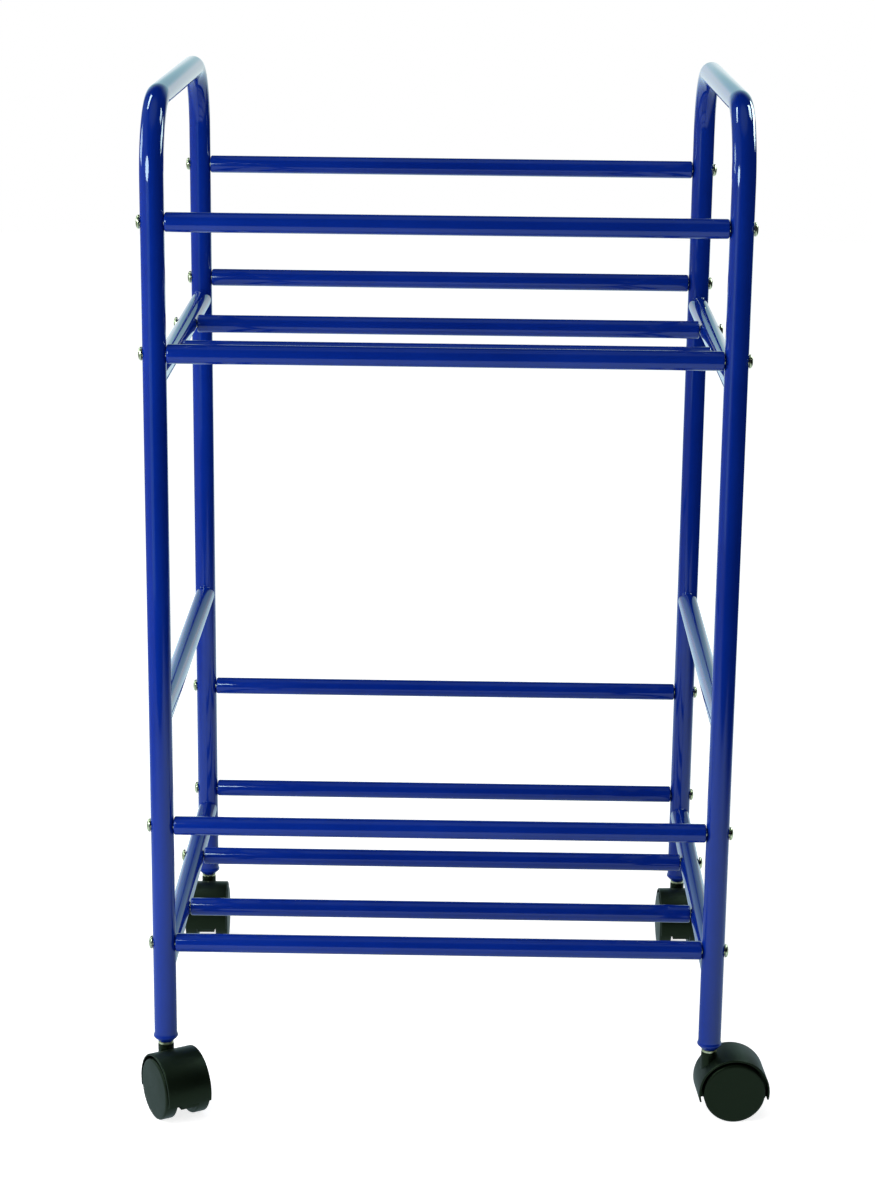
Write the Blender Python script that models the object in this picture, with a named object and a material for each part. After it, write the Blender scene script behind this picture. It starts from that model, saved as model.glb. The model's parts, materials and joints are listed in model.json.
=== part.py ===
"""Two-tier storage trolley: a bolted frame of painted steel tube on four twin-wheel casters.

Each side frame is one bent tube, an upside-down U whose top is a handle, with three rungs welded
across it. Twelve crossbars run between the side frames and are held by a screw at each end. Under
each leg a steel stem carries a plastic caster hood, which swivels on it, and a steel axle in the
hood carries two wheels that spin apart from each other.

Metres, +X to the right, +Y to the back, +Z up. The floor is z = 0.
"""
import math

import bmesh
import bpy
from mathutils import Matrix, Vector

# Side frames
FRAME_WIDTH = 0.4575
FRAME_DEPTH = 0.387
HANDLE_BEND_RADIUS = 0.060
HANDLE_RISE = 0.0318
LEG_DIAMETER = 0.019
LEG_WALL = 0.0012
RUNG_DIAMETER = 0.0175
RUNG_WALL = 0.0012
RUNG_VENT_DIAMETER = 0.004
BRACE_RISE = 0.2158

# Lower end of a leg, drawn in round the plug that holds the caster stem
LEG_FLARE_RIM = 0.0009
LEG_FLARE_HEIGHT = 0.0030
LEG_TAPER_HEIGHT = 0.0044
LEG_TIP_WALL = 0.0022
LEG_PLUG_HEIGHT = 0.024

# Crossbars
BAR_DIAMETER = 0.0155
BAR_WALL = 0.0012
BAR_PLUG_LENGTH = 0.018
BAR_END_ROUNDING = 0.0015
LEG_BELOW_SHELF = 0.08815
SHELF_SPACING = 0.4975
RAIL_RISE = 0.1037
BASE_BAR_DROP = 0.0204
BASE_BAR_SPACING = 0.1255

# Screws
SCREW_DIAMETER = 0.006
SCREW_GRIP_IN_BAR = 0.014
SCREW_HEAD_DIAMETER = 0.011
SCREW_HEAD_HEIGHT = 0.003
SCREW_HEAD_RIM = 0.001
SCREW_RECESS_WIDTH = 0.0062
SCREW_RECESS_SLOT = 0.0014
SCREW_RECESS_DEPTH = 0.0016

# Casters
WHEEL_DIAMETER = 0.0518
WHEEL_WIDTH = 0.0127
WHEEL_SPACING = 0.0166
WHEEL_HUB_DIAMETER = 0.0452
WHEEL_HUB_HEIGHT = 0.0009
WHEEL_EDGE_ROUNDING = 0.0014
WHEEL_FACE_MARGIN = 0.00275
WHEEL_FACE_DOME = 0.0006
WHEEL_FACE_THICKNESS = 0.0035
CASTER_TRAIL = 0.0200
HOOD_WIDTH = 0.0386
HOOD_WALL = 0.0015
HOOD_LEADING_DROP = math.radians(15)
HOOD_TRAILING_DROP = math.radians(12)
HOOD_WEB_INSET = 0.0003
HOOD_WEB_TRAILING_DROP = math.radians(18.8)
NECK_DIAMETER = 0.0132
NECK_RISE = 0.00035
NECK_ROUNDING = 0.0006
SOCKET_DEPTH = 0.030
STEM_DIAMETER = 0.008
STEM_COLLAR_RIM = 0.0024
STEM_COLLAR_HEIGHT = 0.00215
STEM_GRIP_IN_LEG = 0.020
AXLE_DIAMETER = 0.006
AXLE_SHORT_OF_BORE = 0.0004

# Way that each caster trails, turned from +X
CASTER_HEADINGS = {
    "front_left": math.radians(-60.1),
    "front_right": math.radians(3.5),
    "back_left": math.radians(-88.5),
    "back_right": math.radians(-87.7),
}

# Fits
SEAT_GAP = 0.0003
SCREW_CLEARANCE = 0.0003
STEM_CLEARANCE = 0.0003
AXLE_CLEARANCE = 0.0003
WHEEL_HOOD_CLEARANCE = 0.0025
WHEEL_WEB_CLEARANCE = 0.0003

# Facets
TUBE_SIDES = 12
VENT_SIDES = 8
SCREW_SIDES = 10
STEM_SIDES = 12
WHEEL_SIDES = 24
BEND_STEPS = 7
MERGE_DISTANCE = 1e-6
SMOOTH_ANGLE = math.radians(35)
CUTTER_OVERSHOOT = 0.004

# Values worked out from the sizes above
WHEEL_BORE_DEPTH = WHEEL_WIDTH - WHEEL_FACE_THICKNESS
HOOD_DIAMETER = WHEEL_DIAMETER + 2 * (WHEEL_HOOD_CLEARANCE + HOOD_WALL)
HOOD_WEB_THICKNESS = WHEEL_SPACING - 2 * WHEEL_WEB_CLEARANCE
AXLE_HEIGHT = WHEEL_DIAMETER / 2
NECK_TOP = AXLE_HEIGHT + HOOD_DIAMETER / 2 + NECK_RISE
STEM_BORE_DIAMETER = STEM_DIAMETER + 2 * STEM_CLEARANCE
SCREW_HOLE_DIAMETER = SCREW_DIAMETER + 2 * SCREW_CLEARANCE
AXLE_BORE_DIAMETER = AXLE_DIAMETER + 2 * AXLE_CLEARANCE
LEG_TIP_DIAMETER = STEM_BORE_DIAMETER + 2 * LEG_TIP_WALL
LEG_FLARE_DIAMETER = LEG_DIAMETER + 2 * LEG_FLARE_RIM
LEG_TIP_HEIGHT = NECK_TOP + STEM_COLLAR_HEIGHT + 2 * SEAT_GAP
LOWER_SHELF_HEIGHT = LEG_TIP_HEIGHT + LEG_BELOW_SHELF
UPPER_SHELF_HEIGHT = LOWER_SHELF_HEIGHT + SHELF_SPACING
SHELF_HEIGHTS = {"lower_shelf": LOWER_SHELF_HEIGHT, "upper_shelf": UPPER_SHELF_HEIGHT}
LOWER_RUNG_HEIGHT = LOWER_SHELF_HEIGHT - BASE_BAR_DROP
UPPER_RUNG_HEIGHT = UPPER_SHELF_HEIGHT - BASE_BAR_DROP
RUNG_HEIGHTS = [LOWER_RUNG_HEIGHT, LOWER_RUNG_HEIGHT + BRACE_RISE, UPPER_RUNG_HEIGHT]
BEND_HEIGHT = UPPER_SHELF_HEIGHT + RAIL_RISE + HANDLE_RISE


def polygon_radius(diameter, sides):
    """Corner radius of a regular polygon whose flats lie on a circle of this diameter."""
    return diameter / 2 / math.cos(math.pi / sides)


def make_material(name, colour, roughness, metallic):
    """Principled material with one even colour."""
    material = bpy.data.materials.new(name)
    material.use_nodes = True
    shader = material.node_tree.nodes["Principled BSDF"]
    shader.inputs["Base Color"].default_value = (*colour, 1.0)
    shader.inputs["Roughness"].default_value = roughness
    shader.inputs["Metallic"].default_value = metallic
    material.diffuse_color = (*colour, 1.0)
    return material


def finish_mesh(name, bm):
    """Close a bmesh off as a mesh with outward faces, smooth where the form is round."""
    bmesh.ops.remove_doubles(bm, verts=bm.verts, dist=MERGE_DISTANCE)
    bmesh.ops.recalc_face_normals(bm, faces=bm.faces)
    mesh = bpy.data.meshes.new(name)
    bm.to_mesh(mesh)
    bm.free()
    mesh.shade_smooth()
    mesh.set_sharp_from_angle(angle=SMOOTH_ANGLE)
    return mesh


def turned_mesh(name, profile, sides):
    """Mesh turned about Z from (diameter, height) corners, with a flat facet towards +X."""
    bm = bmesh.new()
    half_facet = Matrix.Rotation(math.pi / sides, 4, "Z")
    corners = [half_facet @ Vector((polygon_radius(diameter, sides), 0, height)) for diameter, height in profile]
    verts = [bm.verts.new(corner) for corner in corners]
    edges = [bm.edges.new(pair) for pair in zip(verts, verts[1:])]
    bmesh.ops.spin(
        bm, geom=verts + edges, cent=(0, 0, 0), axis=(0, 0, 1), angle=math.tau, steps=sides, use_merge=True
    )
    return finish_mesh(name, bm)


def rod_mesh(name, diameter, length, sides):
    """Plain rod along Z, centred on the origin, with a flat facet towards +X."""
    bm = bmesh.new()
    radius = polygon_radius(diameter, sides)
    turn = Matrix.Rotation(math.pi / sides, 4, "Z")
    bmesh.ops.create_cone(
        bm, cap_ends=True, segments=sides, radius1=radius, radius2=radius, depth=length, matrix=turn
    )
    return finish_mesh(name, bm)


def swept_mesh(name, stations, sides):
    """Solid whose round section follows (point, direction, diameter) stations in a plane of constant x."""
    bm = bmesh.new()
    rings = []
    for index, (point, direction, diameter) in enumerate(stations):
        side = Vector((1, 0, 0))
        turn = Matrix((side, direction.cross(side), direction)).transposed().to_4x4()
        placed = Matrix.Translation(point) @ turn @ Matrix.Rotation(math.pi / sides, 4, "Z")
        ring = bmesh.ops.create_circle(
            bm,
            cap_ends=index in (0, len(stations) - 1),
            segments=sides,
            radius=polygon_radius(diameter, sides),
            matrix=placed,
        )
        rings.append({edge for vert in ring["verts"] for edge in vert.link_edges})
    for lower, upper in zip(rings, rings[1:]):
        bmesh.ops.bridge_loops(bm, edges=list(lower | upper))
    return finish_mesh(name, bm)


def outline_mesh(name, outline, thickness):
    """Plate of this thickness across Y, centred on y = 0, from its (x, z) outline."""
    bm = bmesh.new()
    face = bm.faces.new([bm.verts.new((x, -thickness / 2, z)) for x, z in outline])
    extruded = bmesh.ops.extrude_face_region(bm, geom=[face], use_keep_orig=True)
    moved = [item for item in extruded["geom"] if isinstance(item, bmesh.types.BMVert)]
    bmesh.ops.translate(bm, verts=moved, vec=(0, thickness, 0))
    return finish_mesh(name, bm)


def add_object(name, mesh, material=None, parent=None, location=(0, 0, 0), rotation=(0, 0, 0)):
    """Place a mesh as a named object."""
    obj = bpy.data.objects.new(name, mesh)
    bpy.context.scene.collection.objects.link(obj)
    obj.location = location
    obj.rotation_euler = rotation
    obj.parent = parent
    if material and not mesh.materials:
        mesh.materials.append(material)
    return obj


def add_empty(name, parent=None, location=(0, 0, 0), rotation=(0, 0, 0)):
    """Place an empty that carries other objects."""
    return add_object(name, None, None, parent, location, rotation)


def shape_by_booleans(name, body, joined, cut):
    """Mesh of one body with other objects joined on and then cut out; the objects are used up."""
    for operation, tools in (("UNION", joined), ("DIFFERENCE", cut)):
        for tool in tools:
            boolean = body.modifiers.new(f"{operation} {tool.name}", "BOOLEAN")
            boolean.operation = operation
            boolean.solver = "EXACT"
            boolean.object = tool
    bpy.context.view_layer.update()
    evaluated = body.evaluated_get(bpy.context.evaluated_depsgraph_get())
    bm = bmesh.new()
    bm.from_mesh(evaluated.to_mesh())
    evaluated.to_mesh_clear()
    for used in [body, *joined, *cut]:
        bpy.data.objects.remove(used)
    return finish_mesh(name, bm)


def frame_path(foot_height):
    """Stations (point, direction) up the front leg, round both bends and down the back leg."""
    half_depth = FRAME_DEPTH / 2
    bend_centre = half_depth - HANDLE_BEND_RADIUS
    stations = [(Vector((0, -half_depth, foot_height)), Vector((0, 0, 1)))]
    for centre, first_angle in ((-bend_centre, math.pi), (bend_centre, math.pi / 2)):
        for step in range(BEND_STEPS + 1):
            angle = first_angle - math.pi / 2 * step / BEND_STEPS
            outward = Vector((0, math.cos(angle), math.sin(angle)))
            along = Vector((0, math.sin(angle), -math.cos(angle)))
            stations.append((Vector((0, centre, BEND_HEIGHT)) + HANDLE_BEND_RADIUS * outward, along))
    stations.append((Vector((0, half_depth, foot_height)), Vector((0, 0, -1))))
    return stations


def frame_tube():
    """Outer form of the bent tube, with the flared and tapered foot of each leg."""
    flare_height = LEG_TIP_HEIGHT + LEG_TAPER_HEIGHT
    stations = [(*station, LEG_DIAMETER) for station in frame_path(flare_height + LEG_FLARE_HEIGHT)]
    foot = ((LEG_TIP_HEIGHT, LEG_TIP_DIAMETER), (flare_height, LEG_FLARE_DIAMETER))
    front = [(Vector((0, -FRAME_DEPTH / 2, height)), Vector((0, 0, 1)), size) for height, size in foot]
    back = [(Vector((0, FRAME_DEPTH / 2, height)), Vector((0, 0, -1)), size) for height, size in foot]
    return add_object("frame_tube", swept_mesh("frame_tube", front + stations + back[::-1], TUBE_SIDES))


def rods_across_depth(name, diameter, length, sides):
    """Rods along Y at the height of each rung."""
    mesh = rod_mesh(name, diameter, length, sides)
    quarter_turn = (math.pi / 2, 0, 0)
    return [add_object(name, mesh, location=(0, 0, height), rotation=quarter_turn) for height in RUNG_HEIGHTS]


def frame_bores():
    """Cutters for the hollow of the tube and rungs, the vents, the stem bores and the screw holes."""
    bore = LEG_DIAMETER - 2 * LEG_WALL
    plug_top = LEG_TIP_HEIGHT + LEG_PLUG_HEIGHT
    hollow = swept_mesh("leg_hollow", [(*station, bore) for station in frame_path(plug_top)], TUBE_SIDES)
    cutters = [add_object("leg_hollow", hollow)]
    rung_length = FRAME_DEPTH - LEG_DIAMETER
    cutters += rods_across_depth("rung_hollow", RUNG_DIAMETER - 2 * RUNG_WALL, rung_length, TUBE_SIDES)
    cutters += rods_across_depth("rung_vent", RUNG_VENT_DIAMETER, FRAME_DEPTH, VENT_SIDES)
    stem_bore = rod_mesh("stem_bore", STEM_BORE_DIAMETER, 2 * (LEG_PLUG_HEIGHT + CUTTER_OVERSHOOT), STEM_SIDES)
    hole_length = LEG_FLARE_DIAMETER + 2 * CUTTER_OVERSHOOT
    hole = rod_mesh("screw_hole", SCREW_HOLE_DIAMETER, hole_length, SCREW_SIDES)
    for depth in (-FRAME_DEPTH / 2, FRAME_DEPTH / 2):
        cutters.append(add_object("stem_bore", stem_bore, location=(0, depth, LEG_TIP_HEIGHT)))
    for _, depth, height, _ in crossbar_places():
        spot = (0, depth, height)
        cutters.append(add_object("screw_hole", hole, location=spot, rotation=(0, math.pi / 2, 0)))
    return cutters


def side_frame_mesh():
    """Bent tube and its three welded rungs as one hollow body, centred on x = 0."""
    rungs = rods_across_depth("rung", RUNG_DIAMETER, FRAME_DEPTH, TUBE_SIDES)
    return shape_by_booleans("side_frame", frame_tube(), rungs, frame_bores())


def crossbar_places():
    """Name, depth, height and end carrier's diameter of each crossbar."""
    places = []
    for shelf, height in SHELF_HEIGHTS.items():
        for side, depth in (("front", -FRAME_DEPTH / 2), ("back", FRAME_DEPTH / 2)):
            places.append((f"{shelf}_{side}_top_rail", depth, height + RAIL_RISE, LEG_DIAMETER))
            places.append((f"{shelf}_{side}_bottom_rail", depth, height, LEG_DIAMETER))
        for side, depth in (("front", -BASE_BAR_SPACING / 2), ("back", BASE_BAR_SPACING / 2)):
            places.append((f"{shelf}_{side}_base_bar", depth, height - BASE_BAR_DROP, RUNG_DIAMETER))
    return places


def crossbar_mesh(name, length):
    """Hollow bar along Z with rounded ends, each closed by a plug that is bored for a screw."""
    bore = SCREW_HOLE_DIAMETER
    hollow = BAR_DIAMETER - 2 * BAR_WALL
    face = BAR_DIAMETER - 2 * BAR_END_ROUNDING
    end = length / 2
    plug = end - BAR_PLUG_LENGTH
    rounding = end - BAR_END_ROUNDING
    profile = [(bore, -end), (face, -end), (BAR_DIAMETER, -rounding)]
    profile += [(BAR_DIAMETER, rounding), (face, end), (bore, end)]
    profile += [(bore, plug), (hollow, plug), (hollow, -plug), (bore, -plug), (bore, -end)]
    return turned_mesh(name, profile, TUBE_SIDES)


def screw_mesh():
    """Screw along Z, head up, with the seat of its head at z = 0 and a cross recess in the dome."""
    shank = LEG_DIAMETER + 2 * SEAT_GAP + SCREW_GRIP_IN_BAR
    dome = SCREW_HEAD_DIAMETER - 2 * (SCREW_HEAD_HEIGHT - SCREW_HEAD_RIM)
    profile = [(0, -shank), (SCREW_DIAMETER, -shank), (SCREW_DIAMETER, 0), (SCREW_HEAD_DIAMETER, 0)]
    profile += [(SCREW_HEAD_DIAMETER, SCREW_HEAD_RIM), (dome, SCREW_HEAD_HEIGHT), (0, SCREW_HEAD_HEIGHT)]
    body = add_object("screw_body", turned_mesh("screw_body", profile, SCREW_SIDES))
    inner = SCREW_RECESS_SLOT / 2
    outer = SCREW_RECESS_WIDTH / 2
    quarter = [(outer, -inner), (outer, inner), (inner, inner)]
    outline = []
    for turn in range(4):
        cosine, sine = round(math.cos(turn * math.pi / 2)), round(math.sin(turn * math.pi / 2))
        outline += [(x * cosine - y * sine, x * sine + y * cosine) for x, y in quarter]
    cross = add_object(
        "screw_recess",
        outline_mesh("screw_recess", outline, 2 * SCREW_RECESS_DEPTH),
        location=(0, 0, SCREW_HEAD_HEIGHT),
        rotation=(math.pi / 2, 0, 0),
    )
    return shape_by_booleans("screw", body, [], [cross])


def add_crossbars(root, bar_material, screw_material):
    """Crossbars between the side frames, each with a screw from the outside of either end."""
    screw = screw_mesh()
    meshes = {}
    for name, depth, height, carrier in crossbar_places():
        length = FRAME_WIDTH - carrier - 2 * SEAT_GAP
        if carrier not in meshes:
            meshes[carrier] = crossbar_mesh(f"crossbar_between_{carrier * 1000:.1f}_mm_tubes", length)
        add_object(name, meshes[carrier], bar_material, root, (0, depth, height), (0, math.pi / 2, 0))
        for side, sign in (("left", -1), ("right", 1)):
            seat = sign * (FRAME_WIDTH / 2 + carrier / 2 + SEAT_GAP)
            outward = (0, sign * math.pi / 2, 0)
            add_object(f"{name}_screw_{side}", screw, screw_material, root, (seat, depth, height), outward)


def arc_points(radius, first, last):
    """Corners (x, z) along an arc about the axle whose facets lie on the radius."""
    steps = max(2, round((last - first) / (math.tau / WHEEL_SIDES)))
    corner = radius / math.cos((last - first) / steps / 2)
    angles = [first + (last - first) * step / steps for step in range(steps + 1)]
    return [(CASTER_TRAIL + corner * math.cos(angle), AXLE_HEIGHT + corner * math.sin(angle)) for angle in angles]


def hood_mesh():
    """Caster hood about its stem axis: a round cover over both wheels, a web between them and a neck."""
    cover = outline_mesh(
        "hood_cover", arc_points(HOOD_DIAMETER / 2, -HOOD_TRAILING_DROP, math.pi + HOOD_LEADING_DROP), HOOD_WIDTH
    )
    web_radius = HOOD_DIAMETER / 2 - HOOD_WEB_INSET
    web_outline = arc_points(web_radius, -HOOD_WEB_TRAILING_DROP, math.pi + HOOD_LEADING_DROP)
    web = outline_mesh("hood_web", web_outline, HOOD_WEB_THICKNESS)
    neck_root = NECK_TOP - AXLE_HEIGHT
    face = NECK_DIAMETER - 2 * NECK_ROUNDING
    profile = [(0, -neck_root), (NECK_DIAMETER, -neck_root), (NECK_DIAMETER, -NECK_ROUNDING)]
    neck = turned_mesh("hood_neck", profile + [(face, 0), (0, 0)], STEM_SIDES)
    side_depth = (HOOD_WIDTH - HOOD_WEB_THICKNESS) / 2
    well = rod_mesh("wheel_well", HOOD_DIAMETER - 2 * HOOD_WALL, side_depth + CUTTER_OVERSHOOT, WHEEL_SIDES)
    well_centre = HOOD_WEB_THICKNESS / 2 + (side_depth + CUTTER_OVERSHOOT) / 2
    across = (math.pi / 2, 0, 0)
    cutters = [
        add_object("wheel_well", well, location=(CASTER_TRAIL, sign * well_centre, AXLE_HEIGHT), rotation=across)
        for sign in (-1, 1)
    ]
    socket = rod_mesh("stem_socket", STEM_BORE_DIAMETER, 2 * SOCKET_DEPTH, STEM_SIDES)
    cutters.append(add_object("stem_socket", socket, location=(0, 0, NECK_TOP)))
    bore = rod_mesh("axle_bore", AXLE_BORE_DIAMETER, HOOD_WIDTH, STEM_SIDES)
    cutters.append(add_object("axle_bore", bore, location=(CASTER_TRAIL, 0, AXLE_HEIGHT), rotation=across))
    joined = [add_object("hood_web", web), add_object("hood_neck", neck, location=(0, 0, NECK_TOP))]
    return shape_by_booleans("caster_hood", add_object("hood_cover", cover), joined, cutters)


def stem_mesh():
    """Caster stem along Z with the underside of its collar at z = 0."""
    foot = SOCKET_DEPTH - 2 * SEAT_GAP
    top = STEM_COLLAR_HEIGHT + STEM_GRIP_IN_LEG
    collar = STEM_DIAMETER + 2 * STEM_COLLAR_RIM
    profile = [(0, -foot), (STEM_DIAMETER, -foot), (STEM_DIAMETER, 0), (collar, 0)]
    profile += [(collar, STEM_COLLAR_HEIGHT), (STEM_DIAMETER, STEM_COLLAR_HEIGHT)]
    profile += [(STEM_DIAMETER, top), (0, top)]
    return turned_mesh("caster_stem", profile, STEM_SIDES)


def wheel_mesh():
    """Wheel along Z: at z = 0 the inner face of its hub, with a blind bore; on top a domed outer face."""
    bore = AXLE_BORE_DIAMETER
    inner_flat = WHEEL_DIAMETER - 2 * WHEEL_EDGE_ROUNDING
    inner_edge = WHEEL_HUB_HEIGHT + WHEEL_EDGE_ROUNDING
    shoulder = WHEEL_WIDTH - WHEEL_FACE_DOME - WHEEL_EDGE_ROUNDING
    face = WHEEL_DIAMETER - 2 * WHEEL_FACE_MARGIN
    profile = [(0, WHEEL_BORE_DEPTH), (bore, WHEEL_BORE_DEPTH), (bore, 0), (WHEEL_HUB_DIAMETER, 0)]
    profile += [(WHEEL_HUB_DIAMETER, WHEEL_HUB_HEIGHT), (inner_flat, WHEEL_HUB_HEIGHT)]
    profile += [(WHEEL_DIAMETER, inner_edge), (WHEEL_DIAMETER, shoulder)]
    profile += [(face, WHEEL_WIDTH - WHEEL_FACE_DOME), (0, WHEEL_WIDTH)]
    return turned_mesh("caster_wheel", profile, WHEEL_SIDES)


def add_casters(root, plastic, steel):
    """Swivelling twin-wheel caster under each leg."""
    hood, stem, wheel = hood_mesh(), stem_mesh(), wheel_mesh()
    axle_length = WHEEL_SPACING + 2 * (WHEEL_BORE_DEPTH - AXLE_SHORT_OF_BORE)
    axle = rod_mesh("caster_axle", AXLE_DIAMETER, axle_length, STEM_SIDES)
    for corner, heading in CASTER_HEADINGS.items():
        depth_side, width_side = corner.split("_")
        x = FRAME_WIDTH / 2 * (1 if width_side == "right" else -1)
        y = FRAME_DEPTH / 2 * (1 if depth_side == "back" else -1)
        name = f"caster_{corner}"
        add_object(f"{name}_stem", stem, steel, root, (x, y, NECK_TOP + SEAT_GAP))
        swivel = add_empty(f"{name}_swivel", root, (x, y, 0), (0, 0, heading))
        add_object(f"{name}_hood", hood, plastic, swivel)
        centre = (CASTER_TRAIL, 0, AXLE_HEIGHT)
        add_object(f"{name}_axle", axle, steel, swivel, centre, (math.pi / 2, 0, 0))
        for side, sign in (("left", 1), ("right", -1)):
            place = (CASTER_TRAIL, sign * WHEEL_SPACING / 2, AXLE_HEIGHT)
            outward = (-sign * math.pi / 2, 0, 0)
            add_object(f"{name}_{side}_wheel", wheel, plastic, swivel, place, outward)


def centre_footprint(root):
    """Move the whole trolley so that the middle of its bounding box's base is the origin."""
    bpy.context.view_layer.update()
    corners = [
        obj.matrix_world @ vert.co
        for obj in bpy.context.scene.objects
        if obj.type == "MESH"
        for vert in obj.data.vertices
    ]
    for axis in (0, 1):
        values = [corner[axis] for corner in corners]
        root.location[axis] = -(min(values) + max(values)) / 2
    bpy.context.view_layer.update()


def main():
    """Build the trolley."""
    for obj in list(bpy.data.objects):
        bpy.data.objects.remove(obj)
    blue = make_material("blue_enamel", (0.010, 0.028, 0.300), 0.18, 0.0)
    black = make_material("black_plastic", (0.012, 0.015, 0.013), 0.42, 0.0)
    zinc = make_material("zinc_plate", (0.70, 0.68, 0.60), 0.30, 1.0)
    root = add_empty("trolley")
    frame = side_frame_mesh()
    for side, sign in (("left", -1), ("right", 1)):
        add_object(f"side_frame_{side}", frame, blue, root, (sign * FRAME_WIDTH / 2, 0, 0))
    add_crossbars(root, blue, zinc)
    add_casters(root, black, zinc)
    centre_footprint(root)


if __name__ == "__main__":
    main()
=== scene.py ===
"""Looks of a storage trolley: an open frame of glossy blue tube on four black twin-wheel casters.

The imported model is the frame. Each piece that shows is modelled afresh here at full fineness, in the
same place, and rides on the same body. The four hidden axles stay as packed and only get their finish.
Lengths are metres, +X to the right, +Y to the back, +Z up.
"""
import json
import logging
import math
from collections.abc import Callable, Sequence
from dataclasses import dataclass
from enum import Enum

import bpy
from mathutils import Matrix, Vector


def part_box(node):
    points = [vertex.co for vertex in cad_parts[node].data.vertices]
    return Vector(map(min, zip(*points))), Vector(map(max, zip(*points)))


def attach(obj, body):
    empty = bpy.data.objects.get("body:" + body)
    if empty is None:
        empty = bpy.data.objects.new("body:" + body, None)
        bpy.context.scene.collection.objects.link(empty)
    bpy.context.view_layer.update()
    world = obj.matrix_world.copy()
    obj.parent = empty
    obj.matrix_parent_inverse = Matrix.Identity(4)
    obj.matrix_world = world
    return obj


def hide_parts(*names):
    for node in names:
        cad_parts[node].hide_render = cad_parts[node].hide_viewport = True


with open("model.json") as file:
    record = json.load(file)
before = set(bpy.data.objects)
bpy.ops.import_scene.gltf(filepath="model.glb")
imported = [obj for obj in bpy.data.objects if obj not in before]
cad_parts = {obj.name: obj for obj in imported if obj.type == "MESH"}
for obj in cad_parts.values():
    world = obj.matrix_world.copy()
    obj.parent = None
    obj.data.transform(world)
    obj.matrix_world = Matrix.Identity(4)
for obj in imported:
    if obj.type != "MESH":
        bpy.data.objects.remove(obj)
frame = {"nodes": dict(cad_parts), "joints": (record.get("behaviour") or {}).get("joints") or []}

LOG = logging.getLogger("storage_trolley")
Profile = Sequence[tuple[float, float]]
Colour = tuple[float, float, float]
Piece = bpy.types.Object
Tree = bpy.types.NodeTree
Socket = bpy.types.NodeSocket
ROOT_BODY = "frame"
WHITE: Colour = (1.0, 1.0, 1.0)
COOL: Colour = (0.75, 1.0, 1.0)
COLD: Colour = (0.50, 1.0, 1.0)


class Finish(Enum):
    """The finishes on the trolley, by the record's material slot."""

    BLUE_ENAMEL = "blue_enamel"
    BLACK_PLASTIC = "black_plastic"
    ZINC_PLATE = "zinc_plate"


class Side(Enum):
    """The two ends of the trolley, with the way that each faces along X."""

    LEFT = -1
    RIGHT = 1


# Modelling


def start_fresh() -> None:
    """Leave edit mode and deselect everything."""
    if bpy.context.object and bpy.context.object.mode != "OBJECT":
        bpy.ops.object.mode_set(mode="OBJECT")
    bpy.ops.object.select_all(action="DESELECT")


def select_only(piece: Piece) -> None:
    """Select one piece in object mode and make it the active one."""
    start_fresh()
    piece.select_set(True)
    bpy.context.view_layer.objects.active = piece


def edit_only(piece: Piece) -> None:
    """Select one piece and open it in edit mode with everything in it selected."""
    select_only(piece)
    bpy.ops.object.mode_set(mode="EDIT")
    bpy.ops.mesh.select_mode(type="VERT")
    bpy.ops.mesh.select_all(action="SELECT")


def edit_picked(piece: Piece, kind: str, chosen: Callable[[list[Vector]], bool]) -> None:
    """Open a piece in edit mode with only the edges or faces selected that pass a test on their ends.

    Args:
        piece: The mesh object.
        kind: EDGE or FACE.
        chosen: Test on the ends of an edge or the corners of a face.
    """
    edit_only(piece)
    bpy.ops.mesh.select_mode(type=kind)
    bpy.ops.mesh.select_all(action="DESELECT")
    bpy.ops.object.mode_set(mode="OBJECT")
    mesh = piece.data
    for part in mesh.edges if kind == "EDGE" else mesh.polygons:
        part.select = chosen([mesh.vertices[index].co for index in part.vertices])
    bpy.ops.object.mode_set(mode="EDIT")


def close_and_settle(piece: Piece, merge: float = 1e-6, angle: float = 40) -> Piece:
    """Merge doubles, close open ends, turn faces outwards, apply the place and shade it smooth.

    Args:
        piece: The mesh object to finish.
        merge: Vertices nearer than this become one.
        angle: Edges sharper than this, in degrees, stay sharp.

    Returns:
        The same piece.
    """
    edit_only(piece)
    bpy.ops.mesh.remove_doubles(threshold=merge)
    bpy.ops.mesh.fill_holes(sides=0)
    bpy.ops.mesh.select_all(action="SELECT")
    bpy.ops.mesh.normals_make_consistent(inside=False)
    bpy.ops.object.mode_set(mode="OBJECT")
    bpy.ops.object.transform_apply(location=True, rotation=True, scale=True)
    shade(piece, angle)
    return piece


def shade(piece: Piece, angle: float) -> None:
    """Shade a piece smooth, apart from its edges that are sharper than an angle in degrees."""
    select_only(piece)
    bpy.ops.object.shade_smooth_by_angle(angle=math.radians(angle))


def ring(name: str, radius: float, centre: Vector, sides: int) -> Piece:
    """Start a piece as a level ring, open in edit mode.

    Args:
        name: Name of the piece.
        radius: Radius of the ring.
        centre: Its centre.
        sides: Number of its sides.

    Returns:
        The piece.
    """
    start_fresh()
    bpy.ops.mesh.primitive_circle_add(vertices=sides, radius=radius, location=centre)
    piece = bpy.context.object
    piece.name = piece.data.name = name
    edit_only(piece)
    return piece


def extrude(step: Sequence[float]) -> None:
    """Extrude what is selected by a step."""
    bpy.ops.mesh.extrude_region_move(TRANSFORM_OT_translate={"value": step})


def draw_rings(profile: Profile, base: Vector) -> None:
    """Extrude the selected ring, which is the profile's first, along the rest of the profile.

    Args:
        profile: (radius, height) of each ring.
        base: Point that the heights are measured from.
    """
    for (radius, height), (next_radius, next_height) in zip(profile, profile[1:]):
        growth = next_radius / radius
        extrude((0, 0, next_height - height))
        centre = base + Vector((0, 0, next_height))
        bpy.ops.transform.resize(value=(growth, growth, 1), center_override=centre)


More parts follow.
